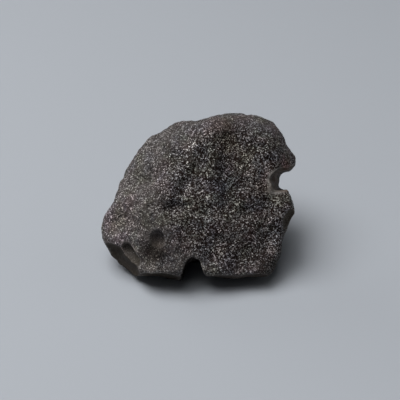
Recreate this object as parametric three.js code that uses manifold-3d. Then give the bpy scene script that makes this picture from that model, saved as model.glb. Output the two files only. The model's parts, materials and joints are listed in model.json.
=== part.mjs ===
// A tektite: one lump of dark natural glass, thrown out by a meteorite impact, lying as it would
// be set down. Millimetres, +Z up. X runs along the lump, and its broad face looks towards -Y and
// up. The origin is on the surface that it rests on, under the middle of its bounding box.
//
// The lump is described in the frame of its broad face: u across the face, v up it, w out of it.

import * as THREE from "three";
import { mergeVertices } from "three/addons/utils/BufferGeometryUtils.js";
import Module from "manifold-3d";

const wasm = await Module();
wasm.setup();
const { degToRad, lerp, euclideanModulo, seededRandom } = THREE.MathUtils;

// Driving dimensions.
const faceTilt = degToRad(55); // the broad face, turned up from lying flat
const restHeight = 14.6; // the lump's middle above the surface it rests on
const frontBulge = 12.5; // how far the broad face stands out from the middle
const backBulge = 14.5; // how far the back does
const squareness = 3; // 2 is an egg, and more is boxier
const planeCrispness = 24; // how sharply one broad plane meets the next
const dentFade = 3; // dents fade out this near the edge between the face and the back
const skinDetail = 17; // subdivisions of the skin's icosahedron
const biteDetail = 4; // subdivisions of a bite's icosahedron
const weldDistance = 1e-4; // corners nearer than this are one corner
const glassColour = 0x3c3936;

// The edge of the broad face as [u, v], anticlockwise from the right.
const outlinePoints = [
  [21.6, 1.4],
  [20.9, 4.6],
  [23.2, 8.5],
  [19.9, 11.2],
  [18.4, 14.2],
  [16.2, 16.6],
  [13.6, 18.0],
  [9.0, 18.6],
  [4.8, 18.2],
  [1.0, 17.1],
  [-3.0, 16.9],
  [-7.8, 15.3],
  [-10.8, 13.3],
  [-15.5, 6.6],
  [-17.5, 3.0],
  [-18.6, -0.6],
  [-21.1, -5.4],
  [-20.9, -8.8],
  [-18.6, -13.4],
  [-17.2, -16.3],
  [-14.4, -17.7],
  [-12.0, -18.8],
  [-7.0, -19.4],
  [0.0, -19.4],
  [7.0, -19.4],
  [12.4, -19.2],
  [15.2, -17.8],
  [16.8, -15.2],
  [17.8, -12.0],
  [18.6, -8.0],
  [22.1, -2.2],
];

// Broad planes that flatten the lump, each by its outward direction [u, v, w] and its distance
// from the middle.
const planes = [
  { facing: [0.2, -0.06, 1], distance: 9.9 }, // main face
  { facing: [-0.44, 0.38, 0.8], distance: 11.8 }, // upper left slope
  { facing: [-0.5, -0.1, 0.85], distance: 13.9 }, // lower left slope
  { facing: [0.25, 0.8, 0.55], distance: 18.8 }, // brow
  { facing: [0.85, 0.1, 0.6], distance: 17.7 }, // right slope
  { facing: [0, -0.96, 0.28], distance: 17.9 }, // lip under the face
  { facing: [-0.75, 0.15, -0.65], distance: 17.0 }, // left back
  { facing: [-0.1, 0.75, -0.65], distance: 16.0 }, // top back
  { facing: [0.3, 0.15, -0.95], distance: 13.4 }, // back
  { facing: [0.85, -0.1, -0.5], distance: 19.3 }, // right back
  { facing: [0.02, -0.91, -0.42], distance: 16.4 }, // front of the underside
  { facing: [-0.05, -0.72, -0.69], distance: 15.5 }, // back of the underside
  { facing: [-0.17, -0.8, -0.57], distance: 15.6 }, // left of the underside
  { facing: [0.15, -0.81, -0.56], distance: 15.7 }, // right of the underside
];

// Soft dents and swellings in the broad face and in the back: the middle [u, v], the half length
// and half width, the turn of the length from u in degrees, and the depth. A swelling has a
// depth below zero.
const frontDents = [
  { at: [2.6, 14.6], half: [5.0, 2.8], turn: 92, depth: -2.6 },
  { at: [3.8, 9.2], half: [5.6, 2.6], turn: 97, depth: -1.5 },
  { at: [3.6, 1.2], half: [5.6, 2.6], turn: 90, depth: -1.0 },
  { at: [4.6, -5.0], half: [5.0, 3.0], turn: 120, depth: -1.8 },
  { at: [10.0, 12.4], half: [5.8, 4.4], turn: 140, depth: 2.3 },
  { at: [13.6, 7.6], half: [6.2, 3.2], turn: 112, depth: 2.2 },
  { at: [16.0, 10.0], half: [4.2, 3.2], turn: 20, depth: -0.7 },
  { at: [7.4, 1.8], half: [5.0, 2.6], turn: 85, depth: 0.8 },
  { at: [10.6, -3.0], half: [3.8, 2.4], turn: 160, depth: 1.3 },
  { at: [14.6, -8.2], half: [5.4, 3.0], turn: 105, depth: 2.0 },
  { at: [19.6, -2.2], half: [6.4, 4.0], turn: 95, depth: -3.2 },
  { at: [-9.8, 7.0], half: [4.2, 3.4], turn: 60, depth: -1.2 },
  { at: [-7.2, 2.6], half: [4.2, 2.8], turn: 95, depth: -1.1 },
  { at: [-3.3, 2.4], half: [3.2, 2.4], turn: 60, depth: 1.2 },
  { at: [0.4, 8.0], half: [4.6, 2.6], turn: 88, depth: 2.2 },
  { at: [-2.0, 4.6], half: [3.2, 1.8], turn: 50, depth: 0.9 },
  { at: [-4.6, 6.2], half: [4.0, 1.8], turn: 50, depth: -0.8 },
  { at: [-5.4, 11.6], half: [4.4, 3.4], turn: 130, depth: -2.0 },
  { at: [-12.0, -1.8], half: [4.4, 3.0], turn: 90, depth: -1.2 },
  { at: [-6.1, -2.6], half: [3.6, 2.6], turn: 10, depth: 1.0 },
  { at: [-5.8, -1.9], half: [2.3, 1.5], turn: 20, depth: 0.8 },
  { at: [-11.8, -8.4], half: [5.4, 2.8], turn: 80, depth: -1.7 },
  { at: [-16.8, -4.2], half: [4.4, 3.2], turn: 60, depth: 1.2 },
  { at: [-18.6, -8.6], half: [2.6, 2.2], turn: 160, depth: -1.0 },
  { at: [-7.4, -12.8], half: [4.8, 3.2], turn: 105, depth: 1.7 },
  { at: [-10.6, -16.6], half: [4.4, 2.4], turn: 5, depth: -1.8 },
  { at: [8.4, -7.0], half: [3.0, 2.4], turn: 0, depth: -0.6 },
  { at: [14.6, -2.0], half: [3.6, 2.8], turn: 90, depth: 0.9 },
  { at: [-2.2, -6.4], half: [4.6, 2.6], turn: 90, depth: 0.7 },
  { at: [2.2, -12.8], half: [3.8, 3.0], turn: 60, depth: 1.1 },
  { at: [10.2, -12.6], half: [4.4, 3.8], turn: 20, depth: 1.1 },
  { at: [7.8, -14.4], half: [1.8, 1.2], turn: 0, depth: 0.5 },
  { at: [13.7, 4.2], half: [3.5, 1.8], turn: 62, depth: 0.9 },
];
const backDents = [
  { at: [-6.0, 4.0], half: [8.0, 4.6], turn: 30, depth: 2.4 },
  { at: [8.0, 8.0], half: [6.0, 4.4], turn: 110, depth: 2.4 },
  { at: [12.5, -4.0], half: [6.0, 3.4], turn: 60, depth: 2.2 },
  { at: [1.0, -5.0], half: [5.4, 3.8], turn: 160, depth: 1.8 },
  { at: [-13.0, -4.0], half: [5.6, 3.4], turn: 95, depth: 1.8 },
  { at: [1.5, 3.0], half: [4.4, 2.4], turn: 70, depth: -1.2 },
  { at: [-10.0, 11.0], half: [4.0, 2.6], turn: 40, depth: 1.4 },
  { at: [15.5, 4.0], half: [4.4, 2.4], turn: 90, depth: 1.3 },
];

// Round hollows where the face and the back meet: the direction from the middle, the radius and
// the depth.
const hollows = [
  { towards: [0.25, 0.85, -0.6], radius: 7.0, depth: 1.7 },
  { towards: [-0.55, 0.7, -0.45], radius: 7.5, depth: 1.7 },
  { towards: [-1.0, -0.05, -0.4], radius: 6.5, depth: 1.4 },
  { towards: [-0.75, -0.65, -0.4], radius: 6.5, depth: 1.3 },
  { towards: [0.9, -0.5, -0.3], radius: 6.0, depth: 1.2 },
  { towards: [0.8, 0.7, -0.45], radius: 6.0, depth: 1.4 },
  { towards: [0.45, -0.55, -0.75], radius: 6.5, depth: 1.3 },
  { towards: [-0.4, -0.5, -0.85], radius: 7.0, depth: 1.5 },
  { towards: [-0.5, -0.9, 0.05], radius: 5.0, depth: 0.9 },
  { towards: [0.55, -0.95, 0.0], radius: 5.5, depth: 0.9 },
];

// Shallow dimples all over the skin. Depth is a share of the radius.
const dimples = { count: 170, radius: [1.8, 4.4], depthShare: [0.06, 0.18], seed: 11 };

// Crisp bites out of the edges, the face and the back, each an ellipsoid: its middle [u, v, w],
// its half axes and its turns about u, v and w in degrees.
const bites = [
  { at: [20.4, 5.0, 4], half: [5.2, 1.9, 14], turn: [0, -9, 36] }, // side notch
  { at: [21.3, 3.9, 2], half: [4.8, 2.0, 11], turn: [0, -9, -14] }, // side notch's foot
  { at: [21.8, 4.2, -10], half: [4.2, 3.0, 8], turn: [0, -20, 40] }, // side notch's back
  { at: [19.8, 4.9, 6.0], half: [4.5, 2.2, 5.0], turn: [0, 0, 15] }, // side notch's mouth
  { at: [20.9, 2.3, 1.0], half: [1.6, 1.6, 11], turn: [0, 0, 0] }, // side notch's corner
  { at: [21.1, -5.0, 5.5], half: [3.1, 2.7, 6.4], turn: [0, 0, -18] }, // side pit
  { at: [-8.5, -8.5, 9.8], half: [1.4, 1.8, 2.0], turn: [-25, -20, -8] }, // face pit
  { at: [-1.2, -16.5, 4.5], half: [2.5, 5.2, 7.5], turn: [0, 0, 3] }, // foot notch
  { at: [0.8, -17.4, -1.5], half: [4.0, 4.2, 5.5], turn: [0, 30, 10] }, // foot hollow
  { at: [-18.9, -14.8, 6.2], half: [7.4, 4.2, 7.0], turn: [0, 0, -42] }, // outer scoop
  { at: [-19.1, -12.7, 4.0], half: [3.1, 3.0, 3.8], turn: [0, 0, 0] }, // outer scoop's head
  { at: [-15.1, -16.2, 5.6], half: [2.4, 2.6, 4.0], turn: [0, 0, 0] }, // outer scoop's foot
  { at: [-14.4, -11.9, 5.7], half: [2.9, 1.4, 2.1], turn: [-14, -32, -60] }, // inner scoop
  { at: [-8.4, -19.3, 6.5], half: [6.5, 3.5, 6.0], turn: [0, 0, -3] }, // left scar under the lip
  { at: [4.6, -20.0, 6.5], half: [8.0, 3.6, 6.0], turn: [0, 0, 0] }, // middle scar
  { at: [11.6, -19.9, 6.0], half: [7.0, 3.6, 5.5], turn: [0, 0, 4] }, // right scar
  { at: [-7.0, 7.0, -13.0], half: [3.0, 2.2, 4.0], turn: [0, 0, 30] }, // back pit
  { at: [13.0, -9.0, -12.0], half: [6.0, 3.0, 4.4], turn: [0, 20, 40] }, // back scoop
];

// The radius of the broad face's outline at an angle round the middle.
function makeOutlineRadius() {
  const steps = 360;
  const curve = new THREE.CatmullRomCurve3(
    outlinePoints.map(([u, v]) => new THREE.Vector3(u, v, 0)),
    true,
  );
  const rim = curve.getPoints(2 * steps).map((p) => ({
    angle: Math.atan2(p.y, p.x),
    radius: Math.hypot(p.x, p.y),
  }));
  const nearest = (angle) =>
    rim.reduce((best, p) =>
      Math.cos(p.angle - angle) > Math.cos(best.angle - angle) ? p : best,
    ).radius;
  const radii = Array.from({ length: steps }, (_, i) => nearest((2 * Math.PI * i) / steps));
  return (angle) => {
    const place = euclideanModulo((angle * steps) / (2 * Math.PI), steps);
    const before = Math.floor(place) % steps;
    return lerp(radii[before], radii[(before + 1) % steps], place - Math.floor(place));
  };
}

// How far the smooth lump reaches from its middle in a direction of the face's frame.
function makeReach() {
  const outlineRadius = makeOutlineRadius();
  const faces = planes.map(({ facing, distance }) => ({
    normal: new THREE.Vector3(...facing).normalize(),
    distance,
  }));
  return (direction) => {
    const across = Math.hypot(direction.x, direction.y);
    const edge = outlineRadius(Math.atan2(direction.y, direction.x));
    const bulge = direction.z > 0 ? frontBulge : backBulge;
    const egg =
      Math.pow(across / edge, squareness) +
      Math.pow(Math.abs(direction.z) / bulge, squareness);
    let sum = Math.pow(egg, planeCrispness / squareness);
    for (const { normal, distance } of faces) {
      const towards = Math.max(0, normal.dot(direction));
      sum += Math.pow(towards / distance, planeCrispness);
    }
    return Math.pow(sum, -1 / planeCrispness);
  };
}

// 1 in the middle of a dent, falling smoothly to 0 at its rim, where share is 1.
function falloff(share) {
  return share < 1 ? Math.pow(1 - share * share, 2) : 0;
}

// How deep a list of oval dents goes at a point of the face or back.
function dentDepth(dents, point) {
  return dents.reduce((depth, dent) => {
    const turn = degToRad(dent.turn);
    const du = point.x - dent.at[0];
    const dv = point.y - dent.at[1];
    const along = (du * Math.cos(turn) + dv * Math.sin(turn)) / dent.half[0];
    const over = (dv * Math.cos(turn) - du * Math.sin(turn)) / dent.half[1];
    return depth + dent.depth * falloff(Math.hypot(along, over));
  }, 0);
}

// The hollows and dimples, each with its middle on the skin, its radius and its depth.
function makeHollows(reach) {
  const random = (low, high) => lerp(low, high, seededRandom());
  seededRandom(dimples.seed);
  const scattered = Array.from({ length: dimples.count }, () => {
    const height = random(-1, 1);
    const angle = random(0, 2 * Math.PI);
    const across = Math.sqrt(1 - height * height);
    const radius = random(...dimples.radius);
    return {
      towards: [across * Math.cos(angle), across * Math.sin(angle), height],
      radius,
      depth: radius * random(...dimples.depthShare),
    };
  });
  return [...hollows, ...scattered].map(({ towards, radius, depth }) => {
    const direction = new THREE.Vector3(...towards).normalize();
    return { middle: direction.clone().multiplyScalar(reach(direction)), radius, depth };
  });
}

// A closed three.js geometry as a manifold-3d solid.
function toSolid(geometry) {
  const bare = geometry.clone();
  bare.deleteAttribute("normal");
  bare.deleteAttribute("uv");
  const merged = mergeVertices(bare, weldDistance);
  return new wasm.Manifold(
    new wasm.Mesh({
      numProp: 3,
      vertProperties: merged.attributes.position.array,
      triVerts: new Uint32Array(merged.index.array),
    }),
  );
}

// A manifold-3d solid as a three.js geometry.
function toGeometry(solid) {
  const { vertProperties, triVerts } = solid.getMesh();
  const geometry = new THREE.BufferGeometry();
  geometry.setAttribute("position", new THREE.BufferAttribute(vertProperties, 3));
  geometry.setIndex(new THREE.BufferAttribute(triVerts, 1));
  geometry.computeVertexNormals();
  return geometry;
}

// The skin: an icosahedron's fine facets, each corner moved out to the lump and into its dents.
function makeSkin() {
  const reach = makeReach();
  const hollowsOnSkin = makeHollows(reach);
  const geometry = new THREE.IcosahedronGeometry(1, skinDetail);
  const corners = geometry.attributes.position;
  const point = new THREE.Vector3();
  for (let i = 0; i < corners.count; i++) {
    point.fromBufferAttribute(corners, i).normalize();
    point.multiplyScalar(reach(point));
    const sunk = hollowsOnSkin.reduce(
      (depth, d) => depth + d.depth * falloff(point.distanceTo(d.middle) / d.radius),
      0,
    );
    const side = Math.sign(point.z);
    const pressed = dentDepth(side > 0 ? frontDents : backDents, point);
    point.setLength(point.length() - sunk);
    point.z -= side * pressed * Math.min(1, Math.abs(point.z) / dentFade);
    corners.setXYZ(i, point.x, point.y, point.z);
  }
  return geometry;
}

// A bite's ellipsoid, turned and in its place.
function makeBite({ at, half, turn }) {
  const geometry = new THREE.IcosahedronGeometry(1, biteDetail);
  geometry.scale(...half);
  geometry.applyMatrix4(
    new THREE.Matrix4().makeRotationFromEuler(new THREE.Euler(...turn.map(degToRad))),
  );
  return geometry.translate(...at);
}

// From the face's frame to the part's: leaned back, and lifted to where the lump rests.
function toRest(geometry) {
  return geometry.rotateX(faceTilt).translate(0, 0, restHeight);
}

// The whole piece, with its bounding box centred over the origin.
function makeTektite() {
  let solid = toSolid(toRest(makeSkin()));
  for (const bite of bites) solid = solid.subtract(toSolid(toRest(makeBite(bite))));
  // What is below the ground goes, which leaves the small flat spot that the lump rests on.
  const ground = new THREE.BoxGeometry(100, 100, 20).translate(0, 0, -10);
  solid = solid.subtract(toSolid(ground));
  const largest = solid.decompose().reduce((a, b) => (a.volume() > b.volume() ? a : b));
  const geometry = toGeometry(largest);
  geometry.computeBoundingBox();
  const middle = geometry.boundingBox.getCenter(new THREE.Vector3());
  geometry.translate(-middle.x, -middle.y, 0);
  const material = new THREE.MeshStandardMaterial({
    color: glassColour,
    roughness: 0.6,
    metalness: 0,
  });
  const mesh = new THREE.Mesh(geometry, material);
  mesh.name = "tektite";
  return mesh;
}

const part = new THREE.Group();
part.add(makeTektite());

export default part;
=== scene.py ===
import json
import math
import time

import bpy
from mathutils import Euler, Matrix, Vector

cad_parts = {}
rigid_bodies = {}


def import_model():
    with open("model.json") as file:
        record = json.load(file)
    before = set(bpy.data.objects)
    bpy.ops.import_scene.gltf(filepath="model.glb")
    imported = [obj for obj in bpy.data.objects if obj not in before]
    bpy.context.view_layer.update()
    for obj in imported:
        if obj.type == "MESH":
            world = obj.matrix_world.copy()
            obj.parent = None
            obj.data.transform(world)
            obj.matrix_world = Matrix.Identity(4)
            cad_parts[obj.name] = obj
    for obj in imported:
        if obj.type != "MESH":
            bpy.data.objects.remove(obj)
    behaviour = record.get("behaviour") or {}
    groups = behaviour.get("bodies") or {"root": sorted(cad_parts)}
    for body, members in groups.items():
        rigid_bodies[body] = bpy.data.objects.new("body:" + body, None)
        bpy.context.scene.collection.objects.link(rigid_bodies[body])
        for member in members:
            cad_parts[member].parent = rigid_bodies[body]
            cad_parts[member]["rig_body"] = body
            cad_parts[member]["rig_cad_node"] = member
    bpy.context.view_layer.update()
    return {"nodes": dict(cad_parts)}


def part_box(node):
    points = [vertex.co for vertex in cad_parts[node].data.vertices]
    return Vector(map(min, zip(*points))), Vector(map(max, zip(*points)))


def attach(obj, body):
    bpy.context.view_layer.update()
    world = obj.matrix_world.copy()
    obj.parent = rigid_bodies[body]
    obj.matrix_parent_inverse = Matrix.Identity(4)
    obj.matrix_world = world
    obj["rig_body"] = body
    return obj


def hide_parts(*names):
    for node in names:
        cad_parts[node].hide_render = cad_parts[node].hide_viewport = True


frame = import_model()
bpy.ops.object.select_all(action="DESELECT")
mm = 0.001
startTime = time.time()


def say(stage):
    print(f"tektite: {stage} ({time.time() - startTime:.1f} s)")


# The stone's broad face has a frame of its own: u across it, v up it, w out of it, in mm.
stoneLow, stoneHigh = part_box("tektite")
stoneMiddle = (stoneLow + stoneHigh) / 2
faceFrame = {
    "lean": 55,  # degrees, the face turned up from lying flat
    "shift": (-0.11, 0.314),  # from the middle of the box, across and back
    "lift": 14.6,  # above the floor
}
faceToStone = (
    Matrix.Translation(
        (
            stoneMiddle.x + faceFrame["shift"][0] * mm,
            stoneMiddle.y + faceFrame["shift"][1] * mm,
            stoneLow.z + faceFrame["lift"] * mm,
        )
    )
    @ Matrix.Rotation(math.radians(faceFrame["lean"]), 4, "X")
    @ Matrix.Diagonal((mm, mm, mm, 1))
)

# Chips out of the stone, each an ellipsoid in the face's frame: its middle, half axes and turns.
# "fresh" is how much smooth glass its wall still shows, where 0 is etched like the skin, and "rim"
# is how strongly its edge is paled as a painted highlight, where that is more than on the others.
chips = {
    "sideNotch": {
        "at": (20.4, 5.0, 4.0), "half": (5.2, 1.9, 14.0),
        "turn": (0, -9, 36), "fresh": 0.7, "rim": 0.7,
    },
    "sideNotchFoot": {
        "at": (21.3, 3.9, 2.0), "half": (4.8, 2.0, 11.0),
        "turn": (0, -9, -14), "fresh": 0.7,
    },
    "sideNotchBack": {
        "at": (21.8, 4.2, -10.0), "half": (4.2, 3.0, 8.0),
        "turn": (0, -20, 40), "fresh": 0.4,
    },
    "sideNotchMouth": {
        "at": (19.8, 4.9, 6.0), "half": (4.5, 2.2, 5.0),
        "turn": (0, 0, 15), "fresh": 0.8, "rim": 0.7,
    },
    "sideNotchCorner": {
        "at": (20.9, 2.3, 1.0), "half": (1.6, 1.6, 11.0),
        "turn": (0, 0, 0), "fresh": 0.3,
    },
    "sidePit": {
        "at": (21.1, -5.0, 5.5), "half": (3.1, 2.7, 6.4),
        "turn": (0, 0, -18), "fresh": 0.8,
    },
    "footNotch": {
        "at": (-1.2, -16.5, 4.5), "half": (2.5, 5.2, 7.5),
        "turn": (0, 0, 3), "fresh": 0.5,
    },
    "footHollow": {
        "at": (0.8, -17.4, -1.5), "half": (4.0, 4.2, 5.5),
        "turn": (0, 30, 10), "fresh": 0.5,
    },
    "outerScoop": {
        "at": (-18.9, -14.8, 6.2), "half": (7.4, 4.2, 7.0),
        "turn": (0, 0, -42), "fresh": 0.9,
    },
    "outerScoopHead": {
        "at": (-19.1, -12.7, 4.0), "half": (3.1, 3.0, 3.8),
        "turn": (0, 0, 0), "fresh": 0.9,
    },
    "outerScoopFoot": {
        "at": (-15.1, -16.2, 5.6), "half": (2.4, 2.6, 4.0),
        "turn": (0, 0, 0), "fresh": 0.9,
    },
    "innerScoop": {
        "at": (-14.4, -11.9, 5.7), "half": (2.9, 1.4, 2.1),
        "turn": (-14, -32, -60), "fresh": 0.5,
    },
    "facePit": {
        "at": (-8.6, -8.4, 9.8), "half": (1.5, 1.8, 2.0),
        "turn": (-25, -20, -8), "fresh": 0.2,
    },
    "leftLip": {
        "at": (-8.4, -19.3, 6.5), "half": (6.5, 3.5, 6.0),
        "turn": (0, 0, -3), "fresh": 0.9,
    },
    "middleLip": {
        "at": (4.6, -20.0, 6.5), "half": (8.0, 3.6, 6.0),
        "turn": (0, 0, 0), "fresh": 0.8,
    },
    "rightLip": {
        "at": (11.6, -19.9, 6.0), "half": (7.0, 3.6, 5.5),
        "turn": (0, 0, 4), "fresh": 0.8,
    },
    "backPit": {
        "at": (-7.0, 7.0, -13.0), "half": (3.0, 2.2, 4.0),
        "turn": (0, 0, 30), "fresh": 0.3,
    },
    "backScoop": {
        "at": (13.0, -9.0, -12.0), "half": (6.0, 3.0, 4.4),
        "turn": (0, 20, 40), "fresh": 0.3,
    },
}


def chipFrame(chip):
    turn = Euler([math.radians(a) for a in chip["turn"]], "ZYX").to_matrix().to_4x4()
    return faceToStone @ Matrix.Translation(chip["at"]) @ turn


def only(thing):
    bpy.ops.object.select_all(action="DESELECT")
    thing.select_set(True)
    bpy.context.view_layer.objects.active = thing


def applyModifier(thing, kind, name, **settings):
    only(thing)
    modifier = thing.modifiers.new(name, kind)
    for key, value in settings.items():
        setattr(modifier, key, value)
    bpy.ops.object.modifier_apply(modifier=name)


# How the copied body becomes stone. Sizes are in mm.
skin = {
    "mergeDistance": 0.0005,
    "roughVoxel": 0.5,
    "voxel": 0.26,
    "smoothing": {"factor": 0.5, "rounds": 1},
    "relief": {
        "swells": {"kind": "CLOUDS", "size": 3.4, "depth": 0.5},
        "thumbprints": {"kind": "VORONOI", "size": 3.2, "depth": 0.5},
        "pebbles": {"kind": "CLOUDS", "size": 1.3, "depth": 0.6},
    },
    "grain": {
        "crystals": {"kind": "CLOUDS", "size": 0.42, "depth": 0.18},
    },
    "chipWaves": {
        "ripples": {"kind": "CLOUDS", "size": 2.4, "depth": 0.35},
        "nicks": {"kind": "CLOUDS", "size": 0.8, "depth": 0.25},
    },
    "chipSubdivisions": 5,
    "chipWall": {"end": 1.06, "fade": 0.1},  # out from a chip's middle, in its own half axes
    "leastEtched": 0.2,  # the least share of the grain's depth, on the freshest wall
    "floorGap": 0.02,
}


def copyBody():
    body = frame["nodes"]["tektite"]
    only(body)
    bpy.ops.object.duplicate()
    stone = bpy.context.object
    stone.name = "tektiteStone"
    stone.parent = None
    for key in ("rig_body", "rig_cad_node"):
        if key in stone:
            del stone[key]
    bpy.ops.object.mode_set(mode="EDIT")
    bpy.ops.mesh.select_all(action="SELECT")
    bpy.ops.mesh.remove_doubles(threshold=skin["mergeDistance"] * mm)
    bpy.ops.mesh.normals_make_consistent(inside=False)
    bpy.ops.object.mode_set(mode="OBJECT")
    if stone.data.has_custom_normals:
        bpy.ops.mesh.customdata_custom_splitnormals_clear()
    return stone


def displace(thing, name, wave, **settings):
    texture = bpy.data.textures.new(name, wave["kind"])
    texture.noise_scale = wave["size"] * mm
    applyModifier(
        thing,
        "DISPLACE",
        name,
        texture=texture,
        texture_coords="LOCAL",
        strength=wave["depth"] * mm,
        mid_level=0.5,
        **settings,
    )


def makeChip(name):
    chip = chips[name]
    bpy.ops.mesh.primitive_ico_sphere_add(subdivisions=skin["chipSubdivisions"], radius=1)
    cutter = bpy.context.object
    cutter.name = name
    cutter.data.transform(chipFrame(chip) @ Matrix.Diagonal((*chip["half"], 1)))
    for waveName, wave in skin["chipWaves"].items():
        displace(cutter, waveName, wave)
    return cutter


def cutChips(stone):
    for name in chips:
        cutter = makeChip(name)
        applyModifier(
            stone, "BOOLEAN", name, operation="DIFFERENCE", object=cutter, solver="MANIFOLD"
        )
        bpy.data.objects.remove(cutter)


def evenSkin(stone, voxel):
    applyModifier(stone, "REMESH", "even", mode="VOXEL", voxel_size=voxel * mm)


def soften(stone):
    smoothing = skin["smoothing"]
    applyModifier(
        stone, "SMOOTH", "soften", factor=smoothing["factor"], iterations=smoothing["rounds"]
    )


# How deep the grain is: 1 on the skin, and less on the walls of the fresher chips.
def groupSkin(stone):
    group = stone.vertex_groups.new(name="etched")
    intoChips = [
        ((chipFrame(chip) @ Matrix.Diagonal((*chip["half"], 1))).inverted(), chip["fresh"])
        for chip in chips.values()
    ]
    wall = skin["chipWall"]
    for vertex in stone.data.vertices:
        weight = 1.0
        for into, fresh in intoChips:
            away = ((into @ vertex.co).length - wall["end"]) / wall["fade"]
            weight = min(weight, 1 - fresh * (1 - min(1, max(0, away))))
        group.add([vertex.index], max(skin["leastEtched"], weight), "REPLACE")


# Presses what has come out below the floor back to it.
def seatStone(stone):
    only(stone)
    lowest = stoneLow.z + skin["floorGap"] * mm
    for vertex in stone.data.vertices:
        vertex.select = vertex.co.z < lowest
    for group in (stone.data.edges, stone.data.polygons):
        group.foreach_set("select", [False] * len(group))
    bpy.ops.object.mode_set(mode="EDIT")
    bpy.ops.mesh.select_mode(type="VERT")
    bpy.ops.transform.resize(value=(1, 1, 0), center_override=(0, 0, lowest))
    bpy.ops.object.mode_set(mode="OBJECT")


stone = copyBody()
say("body copied")
evenSkin(stone, skin["roughVoxel"])
soften(stone)
say("facets smoothed")
evenSkin(stone, skin["voxel"])
for name, wave in skin["relief"].items():
    displace(stone, name, wave)
say("relief pressed")
cutChips(stone)
say("chips cut")
evenSkin(stone, skin["voxel"])
soften(stone)
groupSkin(stone)
for name, wave in skin["grain"].items():
    displace(stone, name, wave, vertex_group="etched")
seatStone(stone)
only(stone)
bpy.ops.object.shade_smooth()
say("skin etched")

# The stone's finish. Sizes are in mm, and colours are linear.
finish = {
    "crystal": 0.2,  # one facet of the etched skin
    "facetTilt": 1.3,  # how far facets lean from the surface
    "toneFalloff": 6.0,  # more makes pale facets rarer
    "dark": (0.0115, 0.0068, 0.0055),
    # pale facets: paler grain, partly painted glints
    "paleGrainAndGlint": (0.645, 0.61, 0.595),
    "cluster": 0.45,  # facets are paler and darker in clusters of this size
    "clusterShift": 5.3,
    "clusterSteps": (0.3, 0.7),
    "clusterRange": (0.8, 1.2),
    "chipColour": (0.038, 0.0315, 0.025),
    "chipRoughness": 0.6,
    "chipEdge": (0.12, 0.24, 0.6),  # out from a chip: its wall's end, and the start and end of its rim's painted highlight
    "rimHighlightColour": (0.21, 0.195, 0.185),  # painted highlight along a chip's rim
    "rimHighlightShare": 0.3,
    "skinRoughness": (0.7, 0.25),  # of dark facets and of pale ones
    "skinRoughnessSteps": (0.3, 1.0),
    "specular": 0.04,
}

# The sharpest grain is round the middle of the broad face, and it is calmer further out.
sharpGrain = {"at": (8.0, 0.0, 9.0), "from": 12.0, "to": 20.0, "calm": 0.4}

# Faint stains: the size of their patches, and the colour that they multiply the skin by.
stainEdge = (0.48, 0.62)
stainDetail = 3.0
stains = {
    "rose": {"size": 5.0, "shift": 0.0, "colour": (1.04, 0.97, 1.0)},
    "olive": {"size": 4.2, "shift": 3.7, "colour": (0.98, 1.02, 0.93)},
    "slate": {"size": 4.6, "shift": 8.1, "colour": (0.96, 1.0, 1.07)},
}

# Paler and darker places, each round a middle (u, v, w), out to a reach in mm: some are the
# stone's own tints, and some are painted highlights and painted shade. The tint is full in the
# core, which is a share of the reach.
placeCore = 0.2
tintsAndPaintedLight = {
    # paler grain on the left lobe, partly painted light from the left
    "paleAndLitLobe": {"at": (-17.5, -6.0, 6.0), "reach": 9.0, "colour": (1.4, 1.32, 1.32)},
    # painted light on the lit left edge
    "leftEdgeLight": {"at": (-15.5, 2.0, 5.0), "reach": 5.0, "colour": (1.2, 1.2, 1.2)},
    "brownBrow": {"at": (6.0, 13.0, 8.0), "reach": 8.0, "colour": (1.04, 0.98, 0.94)},
    # painted light over a hollow the relief shades too dark
    "templeLight": {"at": (11.5, 6.5, 7.0), "reach": 5.5, "colour": (1.45, 1.45, 1.42)},
    # painted shade on the concave slope toward the side notch
    "cheekShade": {"at": (13.5, 2.0, 7.0), "reach": 3.0, "colour": (0.78, 0.72, 0.68)},
    # painted bluish sheen on the upper-left shoulder
    "shoulderSheen": {"at": (-3.5, 14.5, 8.0), "reach": 4.5, "colour": (1.12, 1.16, 1.2)},
    "slateMiddle": {"at": (6.0, 3.0, 10.0), "reach": 5.5, "colour": (0.84, 0.88, 0.96)},
    # painted highlight along the lit lower lip
    "lipHighlight": {"at": (-9.5, -16.0, 8.0), "reach": 4.0, "colour": (1.45, 1.45, 1.4)},
    "redNub": {"at": (19.6, 7.4, 3.5), "reach": 3.2, "colour": (0.9, 0.7, 0.74)},
    # painted highlight on the crest
    "crestHighlight": {"at": (-1.8, 11.2, 9.5), "reach": 2.2, "colour": (2.6, 2.6, 2.6)},
    "oliveScoop": {"at": (-13.5, -12.9, 5.5), "reach": 2.6, "colour": (0.7, 0.68, 0.6)},
    # painted shade in the hollow round the face pit, with a warm brown tint
    "pitShade": {"at": (-8.9, -11.2, 8.0), "reach": 4.6, "colour": (0.44, 0.41, 0.37)},
    # painted warm light inside the dark arch under the stone
    "archGlow": {"at": (-0.8, -13.0, 1.5), "reach": 4.0, "colour": (1.45, 1.25, 1.15)},
    "darkTail": {"at": (15.5, -15.5, 5.0), "reach": 5.0, "colour": (0.6, 0.57, 0.55)},
    # painted highlight on the notch's crest corner
    "cornerHighlight": {"at": (16.6, 1.2, 5.0), "reach": 2.4, "colour": (1.5, 1.5, 1.5)},
    # painted light on a ridge the relief shades too dark
    "ridgeLight": {"at": (-12.3, -10.3, 7.0), "reach": 3.0, "colour": (1.4, 1.37, 1.33)},
    "brownNotch": {"at": (18.5, 3.6, 1.5), "reach": 5.5, "colour": (1.45, 1.1, 0.85)},
    "olivePit": {"at": (20.8, -5.0, 2.5), "reach": 4.5, "colour": (1.15, 1.0, 0.75)},
}

# Painted shade on the foot where it nears the floor: darker from one height in mm to another.
footShade = {"from": 0.5, "to": 3.0, "colour": (0.35, 0.31, 0.28)}


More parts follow.
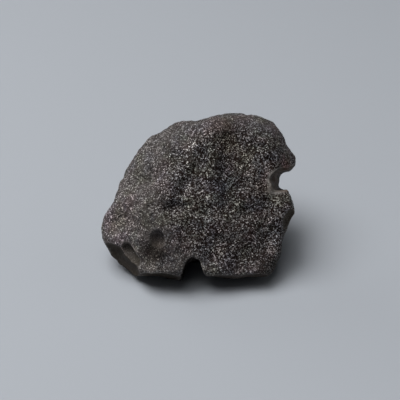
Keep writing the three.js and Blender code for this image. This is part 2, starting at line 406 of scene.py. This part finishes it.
def glassMaterial():
    material = bpy.data.materials.new("etchedGlass")
    material.use_nodes = True
    tree = material.node_tree
    shader = tree.nodes["Principled BSDF"]

    def add(kind, **settings):
        node = tree.nodes.new(kind)
        for key, value in settings.items():
            setattr(node, key, value)
        return node

    def join(output, socket):
        tree.links.new(output, socket)

    def feed(socket, value):
        if isinstance(value, bpy.types.NodeSocket):
            join(value, socket)
        else:
            socket.default_value = value

    def maths(operation, *values, clamp=False):
        node = add("ShaderNodeMath", operation=operation, use_clamp=clamp)
        for socket, value in zip(node.inputs, values):
            feed(socket, value)
        return node.outputs[0]

    def vectorMaths(operation, *values):
        node = add("ShaderNodeVectorMath", operation=operation)
        for socket, value in zip(node.inputs, values):
            feed(socket, value)
        return node.outputs["Value" if operation == "LENGTH" else "Vector"]

    def scaled(vector, factor):
        node = add("ShaderNodeVectorMath", operation="SCALE")
        feed(node.inputs["Vector"], vector)
        feed(node.inputs["Scale"], factor)
        return node.outputs["Vector"]

    def mixColours(share, first, second, blend="MIX"):
        node = add("ShaderNodeMix", data_type="RGBA", blend_type=blend)
        feed(node.inputs["Factor"], share)
        for socket, value in ((node.inputs[6], first), (node.inputs[7], second)):
            if isinstance(value, tuple):
                value = (*value, 1)
            feed(socket, value)
        return node.outputs[2]

    def steps(value, low, high, toLow=0.0, toHigh=1.0, smooth=True):
        node = add("ShaderNodeMapRange", interpolation_type="SMOOTHSTEP" if smooth else "LINEAR")
        for socket, v in zip(node.inputs, (value, low, high, toLow, toHigh)):
            feed(socket, v)
        return node.outputs[0]

    place = add("ShaderNodeTexCoord").outputs["Object"]
    inMm = add("ShaderNodeMapping", vector_type="POINT")
    inMm.inputs["Scale"].default_value = (1 / mm, 1 / mm, 1 / mm)
    join(place, inMm.inputs["Vector"])
    spot = inMm.outputs["Vector"]

    def cloud(size, shift, detail=2.0):
        node = add("ShaderNodeTexNoise", noise_dimensions="4D")
        join(spot, node.inputs["Vector"])
        node.inputs["W"].default_value = shift
        node.inputs["Scale"].default_value = 1 / size
        node.inputs["Detail"].default_value = detail
        return node.outputs["Fac"]

    def cells(size):
        node = add("ShaderNodeTexVoronoi", feature="F1")
        join(spot, node.inputs["Vector"])
        node.inputs["Scale"].default_value = 1 / size
        return node.outputs["Color"]

    # The share of chip at a spot: how fresh a chip is on its wall, and 0 on the skin. The rims
    # are the narrow strips of skin just outside the chips, paled there as a painted highlight.
    chipShare = None
    rimHighlightShare = None
    for chip in chips.values():
        into = add("ShaderNodeMapping", vector_type="TEXTURE")
        join(place, into.inputs["Vector"])
        move, turn = chipFrame(chip).decompose()[:2]
        into.inputs["Location"].default_value = move
        into.inputs["Rotation"].default_value = turn.to_euler()
        into.inputs["Scale"].default_value = [h * mm for h in chip["half"]]
        away = vectorMaths("LENGTH", into.outputs["Vector"])
        wall, rimStart, rimEnd = (1 + out / min(chip["half"]) for out in finish["chipEdge"])
        inside = steps(away, wall, rimStart, chip["fresh"], 0.0)
        # painted highlight along the strip just outside each chip
        rim = steps(away, rimStart, rimEnd, chip.get("rim", finish["rimHighlightShare"]), 0.0)
        chipShare = inside if chipShare is None else maths("MAXIMUM", chipShare, inside)
        rimHighlightShare = rim if rimHighlightShare is None else maths("MAXIMUM", rimHighlightShare, rim)

    # Each facet of the skin leans its own way, and the wall of a fresh chip is smooth.
    grain = cells(finish["crystal"])
    random = vectorMaths("SUBTRACT", grain, (0.5, 0.5, 0.5))
    lean = maths("MULTIPLY", maths("SUBTRACT", 1.0, chipShare), finish["facetTilt"])
    tilt = scaled(random, lean)
    surface = add("ShaderNodeNewGeometry").outputs["Normal"]
    facet = vectorMaths("NORMALIZE", vectorMaths("ADD", surface, tilt))
    join(facet, shader.inputs["Normal"])

    # Most facets are dark and a few are pale, the pale ones partly painted glints. Where the grain
    # is calm they near their mean tone.
    split = add("ShaderNodeSeparateColor")
    join(grain, split.inputs[0])
    pick = split.outputs[0]  # one random value for each facet
    tone = maths("POWER", pick, finish["toneFalloff"])
    clusters = cloud(finish["cluster"], finish["clusterShift"])
    cluster = steps(clusters, *finish["clusterSteps"], *finish["clusterRange"])
    tone = maths("MULTIPLY", tone, cluster, clamp=True)
    middle = faceToStone @ Vector(sharpGrain["at"])
    outwards = vectorMaths("LENGTH", vectorMaths("SUBTRACT", place, tuple(middle)))
    reaches = (sharpGrain["from"] * mm, sharpGrain["to"] * mm)
    calm = steps(outwards, *reaches, 0.0, sharpGrain["calm"])
    evenTone = 1 / (1 + finish["toneFalloff"])
    sharp = mixColours(tone, finish["dark"], finish["paleGrainAndGlint"])
    even = mixColours(evenTone, finish["dark"], finish["paleGrainAndGlint"])
    colour = mixColours(calm, sharp, even)
    # Over that lie the stains, the painted rim highlights, the chips, the tints and painted light
    # and shade of the places, and the painted shade on the foot.
    for stain in stains.values():
        patch = steps(cloud(stain["size"], stain["shift"], stainDetail), *stainEdge)
        stained = mixColours(1.0, colour, stain["colour"], blend="MULTIPLY")
        colour = mixColours(patch, colour, stained)
    # painted highlights on the chips' rims
    colour = mixColours(rimHighlightShare, colour, finish["rimHighlightColour"])
    colour = mixColours(chipShare, colour, finish["chipColour"])
    # some places are the stone's own tints, others painted highlights and painted shade
    for spotted in tintsAndPaintedLight.values():
        middle = faceToStone @ Vector(spotted["at"])
        away = vectorMaths("LENGTH", vectorMaths("SUBTRACT", place, tuple(middle)))
        reach = spotted["reach"] * mm
        share = steps(away, placeCore * reach, reach, 1.0, 0.0)
        tinted = mixColours(1.0, colour, spotted["colour"], blend="MULTIPLY")
        colour = mixColours(share, colour, tinted)
    height = add("ShaderNodeSeparateXYZ")
    join(place, height.inputs[0])
    # painted shade darkens the foot near the floor
    low = steps(height.outputs["Z"], footShade["from"] * mm, footShade["to"] * mm, 1.0, 0.0)
    colour = mixColours(low, colour, mixColours(1.0, colour, footShade["colour"], blend="MULTIPLY"))
    join(colour, shader.inputs["Base Color"])
    shader.inputs["Specular IOR Level"].default_value = finish["specular"]
    rough = steps(pick, *finish["skinRoughnessSteps"], *finish["skinRoughness"], smooth=False)
    roughMix = add("ShaderNodeMix", data_type="FLOAT")
    feed(roughMix.inputs[0], chipShare)
    feed(roughMix.inputs[2], rough)
    feed(roughMix.inputs[3], finish["chipRoughness"])
    join(roughMix.outputs[0], shader.inputs["Roughness"])
    return material


stone.data.materials.clear()
stone.data.materials.append(glassMaterial())
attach(stone, "root")
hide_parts("tektite")

# The floor, the camera and the lights.
studio = {
    "floorSize": 3.0,
    "floorColour": (0.33, 0.35, 0.38),
    "floorRoughness": 0.8,
    "cameraDistance": 0.2427,
    "cameraHeight": 35,  # degrees above level
    "lens": 100,
    "sensor": 36,
    "clipStart": 0.01,
    "aim": (0.22, 0.124, -2.22),  # mm, from the middle of the stone's box
    "lampDistance": 0.75,
    "airColour": (0.8, 0.86, 0.95),
    "airStrength": 0.03,
}

# Each lamp: degrees round from the left towards the front, degrees up, disk size and watts.
lamps = {
    "window": {"round": 0, "up": 67, "size": 0.54, "power": 5.45},
    "ceiling": {"round": 60, "up": 74, "size": 0.48, "power": 2.2},
    "backFill": {"round": -40, "up": 25, "size": 0.54, "power": 0.95},
    "frontFill": {"round": 60, "up": 45, "size": 0.54, "power": 0.22},
    "rightFill": {"round": 190, "up": 30, "size": 0.54, "power": 0.28},
}

bpy.ops.mesh.primitive_plane_add(size=studio["floorSize"])
floor = bpy.context.object
floor.name = "floor"
paper = bpy.data.materials.new("palePaper")
paper.use_nodes = True
paperShader = paper.node_tree.nodes["Principled BSDF"]
paperShader.inputs["Base Color"].default_value = (*studio["floorColour"], 1)
paperShader.inputs["Roughness"].default_value = studio["floorRoughness"]
floor.data.materials.append(paper)

aim = stoneMiddle + Vector(studio["aim"]) * mm
height = math.radians(studio["cameraHeight"])
back = Vector((0, -math.cos(height), math.sin(height)))
bpy.ops.object.camera_add(location=aim + back * studio["cameraDistance"])
camera = bpy.context.object
camera.rotation_euler = (-back).to_track_quat("-Z", "Y").to_euler()
camera.data.lens = studio["lens"]
camera.data.sensor_width = studio["sensor"]
camera.data.clip_start = studio["clipStart"]
bpy.context.scene.camera = camera


def hangLamp(name):
    lamp = lamps[name]
    turn, up = math.radians(lamp["round"]), math.radians(lamp["up"])
    way = Vector((-math.cos(turn) * math.cos(up), -math.sin(turn) * math.cos(up), math.sin(up)))
    bpy.ops.object.light_add(type="AREA", location=aim + way * studio["lampDistance"])
    light = bpy.context.object
    light.name = name
    light.data.shape = "DISK"
    light.data.size = lamp["size"]
    light.data.energy = lamp["power"]
    light.rotation_euler = way.to_track_quat("Z", "Y").to_euler()


for name in lamps:
    hangLamp(name)
world = bpy.data.worlds.new("studio")
bpy.context.scene.world = world
world.use_nodes = True
air = world.node_tree.nodes["Background"]
air.inputs["Color"].default_value = (*studio["airColour"], 1)
air.inputs["Strength"].default_value = studio["airStrength"]
bpy.context.scene.view_settings.view_transform = "Standard"

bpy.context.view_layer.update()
say("done")
